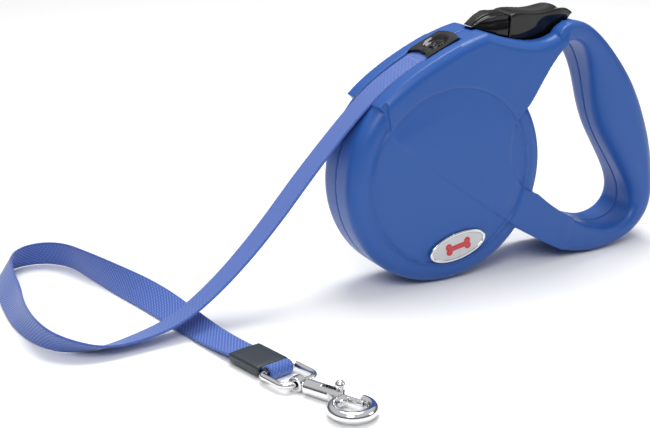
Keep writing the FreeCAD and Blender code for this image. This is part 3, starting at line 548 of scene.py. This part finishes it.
def make_badge_rim(place):
    """Chrome ring stretched to the badge's oval, its section about half as deep as it is wide."""
    rim_r = 0.62 * mm
    rim_depth = 1.1 * rim_r     # of the whole section
    clear_choice()
    bpy.ops.mesh.primitive_torus_add(major_radius=1.0, minor_radius=0.5, major_segments=96, minor_segments=16,
                                     location=(0, 0, 0), rotation=(math.radians(90), 0, 0))
    rim = bpy.context.object
    rim.name = "badge_ring"
    settle(rim)
    for vertex in rim.data.vertices:
        around = math.atan2(vertex.co.z, vertex.co.x)
        radial = math.hypot(vertex.co.x, vertex.co.z) - 1.0
        depth = vertex.co.y
        vertex.co.x = math.cos(around) * (badge_half_long + radial * 2 * rim_r)
        vertex.co.z = math.sin(around) * (badge_half_short + radial * 2 * rim_r)
        vertex.co.y = depth * rim_depth
    rim.data.transform(place)
    choose(rim)
    bpy.ops.object.shade_smooth()
    finish_piece(rim, bright_chrome, "casing", "badge_chrome", "badge_rim")


def make_badge_face(place):
    """Low oval dome in silver."""
    dome = 0.55 * mm
    clear_choice()
    bpy.ops.mesh.primitive_uv_sphere_add(segments=96, ring_count=24, radius=1.0,
                                         rotation=(math.radians(90), 0, 0))
    face = bpy.context.object
    face.name = "badge_face"
    settle(face)
    face.data.transform(place @ Matrix.Diagonal((badge_half_long, dome, badge_half_short, 1.0)))
    choose(face)
    bpy.ops.object.shade_smooth()
    finish_piece(face, badge_silver, "casing", "badge_silver", "badge_plate")


def make_badge_bone(place):
    """Red bone: a bar and four knuckles made one rounded piece."""
    bar_size = (8.6 * mm, 0.7 * mm, 2.1 * mm)
    knuckle_size = (1.55 * mm, 0.4 * mm, 1.45 * mm)
    knuckle_x = 4.5 * mm
    knuckle_z = 1.15 * mm
    clear_choice()
    bpy.ops.mesh.primitive_cube_add(size=1.0)
    bar = bpy.context.object
    bar.data.transform(Matrix.Diagonal((*bar_size, 1.0)))
    parts = [bar]
    for x in (-knuckle_x, knuckle_x):
        for z in (-knuckle_z, knuckle_z):
            clear_choice()
            bpy.ops.mesh.primitive_uv_sphere_add(segments=32, ring_count=16, radius=1.0)
            knuckle = bpy.context.object
            knuckle.data.transform(Matrix.Translation((x, 0, z)) @ Matrix.Diagonal((*knuckle_size, 1)))
            parts.append(knuckle)
    choose(*parts)
    bpy.ops.object.join()
    bone = bpy.context.object
    bone.name = "badge_bone"
    apply(bone, "REMESH", mode="VOXEL", voxel_size=0.09 * mm, use_smooth_shade=True)
    apply(bone, "SMOOTH", factor=0.5, iterations=6)
    bone.data.transform(place)
    finish_piece(bone, badge_red, "casing", "badge_red", "badge_emblem")


# ------------------------------------------------------------------ tape
def spline_points(name, points, resolution=14):
    """Points along a smooth quadratic line that has these control points."""
    data = bpy.data.curves.new(name, "CURVE")
    data.dimensions = "3D"
    data.resolution_u = resolution
    line = data.splines.new("NURBS")
    line.points.add(len(points) - 1)
    for item, place in zip(line.points, points):
        item.co = (*place, 1.0)
    line.order_u = 3
    line.use_endpoint_u = True
    holder = bpy.data.objects.new(name, data)
    bpy.context.collection.objects.link(holder)
    bpy.context.view_layer.update()
    mesh = bpy.data.meshes.new_from_object(holder)
    found = [vertex.co.copy() for vertex in mesh.vertices]
    bpy.data.meshes.remove(mesh)
    bpy.data.objects.remove(holder)
    bpy.data.curves.remove(data)
    return found


def band_outline(width, thick):
    """The band's section as (across, up) pairs: flat faces and rounded selvedges."""
    half = width / 2
    edge = thick * 0.5
    upper = []
    for share in (-1.0, -0.985, -0.94, -0.8, -0.5, 0.0, 0.5, 0.8, 0.94, 0.985, 1.0):
        from_edge = (1.0 - abs(share)) * half
        rise = edge * math.sqrt(max(0.0, 1 - (1 - min(from_edge / edge, 1.0)) ** 2))
        upper.append((share * half, rise))
    return upper + [(across, -rise) for across, rise in reversed(upper[1:-1])]


def band_mesh(name, places, leans, width, thick, left_of=None):
    """Flat woven band along the places, with a map in centimetres."""
    centimetres = 100
    ring = band_outline(width, thick)
    mesh = bmesh.new()
    mapping = mesh.loops.layers.uv.new("weave")
    rows = []
    lengths = [0.0]
    count = len(places)
    for i, place in enumerate(places):
        ahead = (places[min(i + 1, count - 1)] - places[max(i - 1, 0)]).normalized()
        left = left_of or Vector((-ahead.y, ahead.x, 0)).normalized()
        up = ahead.cross(left)
        lean = math.radians(leans[i])
        across = left * math.cos(lean) + up * math.sin(lean)
        normal = ahead.cross(across).normalized()
        if i:
            lengths.append(lengths[-1] + (place - places[i - 1]).length)
        rows.append([mesh.verts.new(place + across * a + normal * n) for a, n in ring])
    size = len(ring)
    for i in range(count - 1):
        for j in range(size):
            k = (j + 1) % size
            face = mesh.faces.new((rows[i][j], rows[i][k], rows[i + 1][k], rows[i + 1][j]))
            face.smooth = True
            spots = ((i, j), (i, k), (i + 1, k), (i + 1, j))
            for loop, (row, column) in zip(face.loops, spots):
                loop[mapping].uv = (lengths[row] * centimetres, ring[column][0] * centimetres)
    mesh.faces.new(rows[0][::-1])
    mesh.faces.new(rows[-1])
    bmesh.ops.recalc_face_normals(mesh, faces=mesh.faces)
    data = bpy.data.meshes.new(name)
    mesh.to_mesh(data)
    mesh.free()
    piece = bpy.data.objects.new(name, data)
    bpy.context.collection.objects.link(piece)
    return piece


def tape_end_matrix():
    """The sleeve's mouth: X along the tape's end, Z up."""
    last = Vector(tape_route[-1][:3])
    heading = last - Vector(tape_route[-2][:3])
    return Matrix.Translation(last) @ Matrix.Rotation(math.atan2(heading.y, heading.x), 4, "Z")


def make_tape():
    """The free tape on its route, with the places along its middle and its length."""
    shrink = 100        # a lean in degrees goes through the line as a short length
    places = spline_points("tape line", [point[:3] for point in tape_route])
    lean_points = [(point[3] / shrink, 0, 0) for point in tape_route]
    leans = [place.x * shrink for place in spline_points("tape lean", lean_points)]
    tape = band_mesh("woven_tape", places, leans, tape_width, tape_thick)
    finish_piece(tape, tape_blue, "casing", "tape_blue", "leash_tape")
    length = sum((b - a).length for a, b in zip(places[:-1], places[1:]))
    return tape, places, length


def make_sleeve(end):
    """Moulded rubber sleeve: rounded block, crowned across its width, with a hollow mouth at each end."""
    edge_height = 0.93
    crown_height = 0.12
    mouth_lip = 0.35 * mm
    mouth_deep = 0.7 * mm
    clear_choice()
    bpy.ops.mesh.primitive_cube_add(size=1.0)
    sleeve = bpy.context.object
    sleeve.name = "rubber_sleeve"
    sleeve.data.transform(Matrix.Diagonal((*sleeve_size, 1.0)))
    choose(sleeve)
    bpy.ops.object.mode_set(mode="EDIT")
    bpy.ops.mesh.select_all(action="SELECT")
    bpy.ops.mesh.subdivide(number_cuts=3)
    bpy.ops.object.mode_set(mode="OBJECT")
    for vertex in sleeve.data.vertices:
        crown = 1 - (2 * vertex.co.y / sleeve_size.y) ** 2
        vertex.co.z *= edge_height + crown_height * crown
    apply(sleeve, "BEVEL", width=0.9 * mm, segments=4, limit_method="ANGLE", angle_limit=math.radians(50))
    bevelled = sleeve.data
    mesh = bmesh.new()
    mesh.from_mesh(bevelled)
    for side in (-1, 1):
        ends = [face for face in mesh.faces if face.normal.x * side > 0.99]
        made = bmesh.ops.inset_region(mesh, faces=ends, thickness=mouth_lip, use_even_offset=True)
        inner = [face for face in mesh.faces if face.normal.x * side > 0.99 and face not in made["faces"]]
        for vertex in {v for face in inner for v in face.verts}:
            vertex.co.x -= side * mouth_deep
    mesh.to_mesh(bevelled)
    mesh.free()
    apply(sleeve, "BEVEL", width=0.16 * mm, segments=2, limit_method="ANGLE", angle_limit=math.radians(40))
    sleeve.data.transform(end @ Matrix.Translation((sleeve_size.x / 2, 0, 0)))
    choose(sleeve)
    bpy.ops.object.shade_smooth_by_angle(angle=math.radians(40))
    return finish_piece(sleeve, sleeve_rubber, "casing", "sleeve_rubber", "tape_end_sleeve")


def make_end_loop(end):
    """Short loop of narrower tape, doubled round the ring's bush."""
    loop_width = 10.4 * mm
    loop_thick = 0.85 * mm
    bend_r = 2.35 * mm
    half_wrap = 115.0
    steps = 20
    mouth = sleeve_size.x
    bar_x = mouth + bush_gap
    above = [Vector((mouth - 1.4 * mm, 0, 0.55 * mm)), Vector((mouth - 0.2 * mm, 0, 0.8 * mm)),
             Vector((mouth + 0.6 * mm, 0, 1.4 * mm))]
    path = list(above)
    for i in range(steps + 1):
        angle = math.radians(half_wrap - 2 * half_wrap * i / steps)
        path.append(Vector((bar_x + bend_r * math.cos(angle), 0, bend_r * math.sin(angle))))
    path += [Vector((point.x, 0, -point.z)) for point in reversed(above)]
    smooth = spline_points("loop line", [tuple(p) for p in path], 4)
    flat = [0.0] * len(smooth)
    loop = band_mesh("sewn_loop", smooth, flat, loop_width, loop_thick, left_of=Vector((0, 1, 0)))
    loop.data.transform(end)
    return finish_piece(loop, loop_blue, "casing", "tape_blue", "tape_end_loop")


def make_chrome():
    """Ring, swivel eye, snap hook and its bolt, each on its own body."""
    fine = 0.11 * mm
    chrome_parts = (
        ("swivel_ring", "chrome_ring", "ring"),
        ("hook_swivel", "chrome_eye", "eye"),
        ("snap_hook_body", "chrome_hook", "hook"),
        ("snap_hook_bolt", "chrome_bolt", "bolt"),
    )
    pieces = []
    for node_name, label, body in chrome_parts:
        piece = mould(node_name, label, voxel=fine, smooth=7)
        pieces.append(finish_piece(piece, bright_chrome, body, "bright_chrome", node_name))
    return pieces


def paint_kept_nodes():
    """CAD nodes that stay as they are take their finish here."""
    finishes = {
        "housing_screws": pin_steel, "spool_arbor": pin_steel, "tape_anchor_pin": pin_steel,
        "brake_pivot_pin": pin_steel, "power_spring": spring_steel, "brake_spring": spring_steel,
        "snap_bolt_spring": spring_steel, "spool_drum": spool_grey, "spool_cover": spool_grey,
        "brake_pawl": spool_grey, "tape_roll": tape_blue, "inner_tape": tape_blue, "loop_bush": bush_black,
    }
    for name, material in finishes.items():
        for spot in frame["nodes"][name].material_slots:
            spot.material = material


# ------------------------------------------------------------------ stage
def make_floor():
    """Plain white floor."""
    clear_choice()
    bpy.ops.mesh.primitive_plane_add(size=8.0, location=(0, 0, 0))
    floor = bpy.context.object
    floor.name = "floor"
    white, shader = plain_material("floor white", (0.93, 0.93, 0.93), roughness=0.8)
    shader.inputs["Specular IOR Level"].default_value = 0.1
    floor.data.materials.append(white)


def make_room():
    """Room that goes from dark grey low down to white overhead."""
    world = bpy.data.worlds.new("room")
    world.use_nodes = True
    tree = world.node_tree
    back = tree.nodes["Background"]
    place = node(tree, "ShaderNodeTexCoord")
    split = node(tree, "ShaderNodeSeparateXYZ")
    ramp = node(tree, "ShaderNodeValToRGB")
    link(tree, place, "Generated", split, "Vector")
    link(tree, split, "Z", ramp, "Fac")
    stops = ramp.color_ramp.elements
    stops[0].position = 0.05
    stops[0].color = (0.10, 0.10, 0.11, 1)
    stops[1].position = 0.55
    stops[1].color = (1.0, 1.0, 1.0, 1)
    middle = stops.new(0.32)
    middle.color = (0.30, 0.30, 0.31, 1)
    link(tree, ramp, "Color", back, "Color")
    back.inputs["Strength"].default_value = 0.62
    bpy.context.scene.world = world
    bpy.context.scene.view_settings.view_transform = "Standard"


def make_lamps():
    """Three soft square lamps, aimed at the drum."""
    aim_at = Vector((-0.03, 0.0, 0.05))
    lamps = (               # place and size in metres, power in watts
        ("key", (-0.55, -0.60, 0.80), 0.45, 4.0),
        ("top", (0.05, 0.20, 0.95), 0.5, 6.5),
        ("side", (0.9, -0.6, 0.5), 0.5, 1.2),
    )
    for name, place, size, power in lamps:
        data = bpy.data.lights.new(name, "AREA")
        data.shape = "SQUARE"
        data.size = size
        data.energy = power
        lamp = bpy.data.objects.new(name, data)
        lamp.location = place
        aim = aim_at - Vector(place)
        lamp.rotation_euler = aim.to_track_quat("-Z", "Y").to_euler()
        bpy.context.collection.objects.link(lamp)


# ------------------------------------------------------------------ making
set_camera()
tape, tape_places, tape_length = make_tape()
end = tape_end_matrix()
sleeve = make_sleeve(end)
end_loop = make_end_loop(end)
chrome_pieces = make_chrome()
make_casing()
make_controls()
make_badge()
paint_kept_nodes()
make_floor()
make_room()
make_lamps()
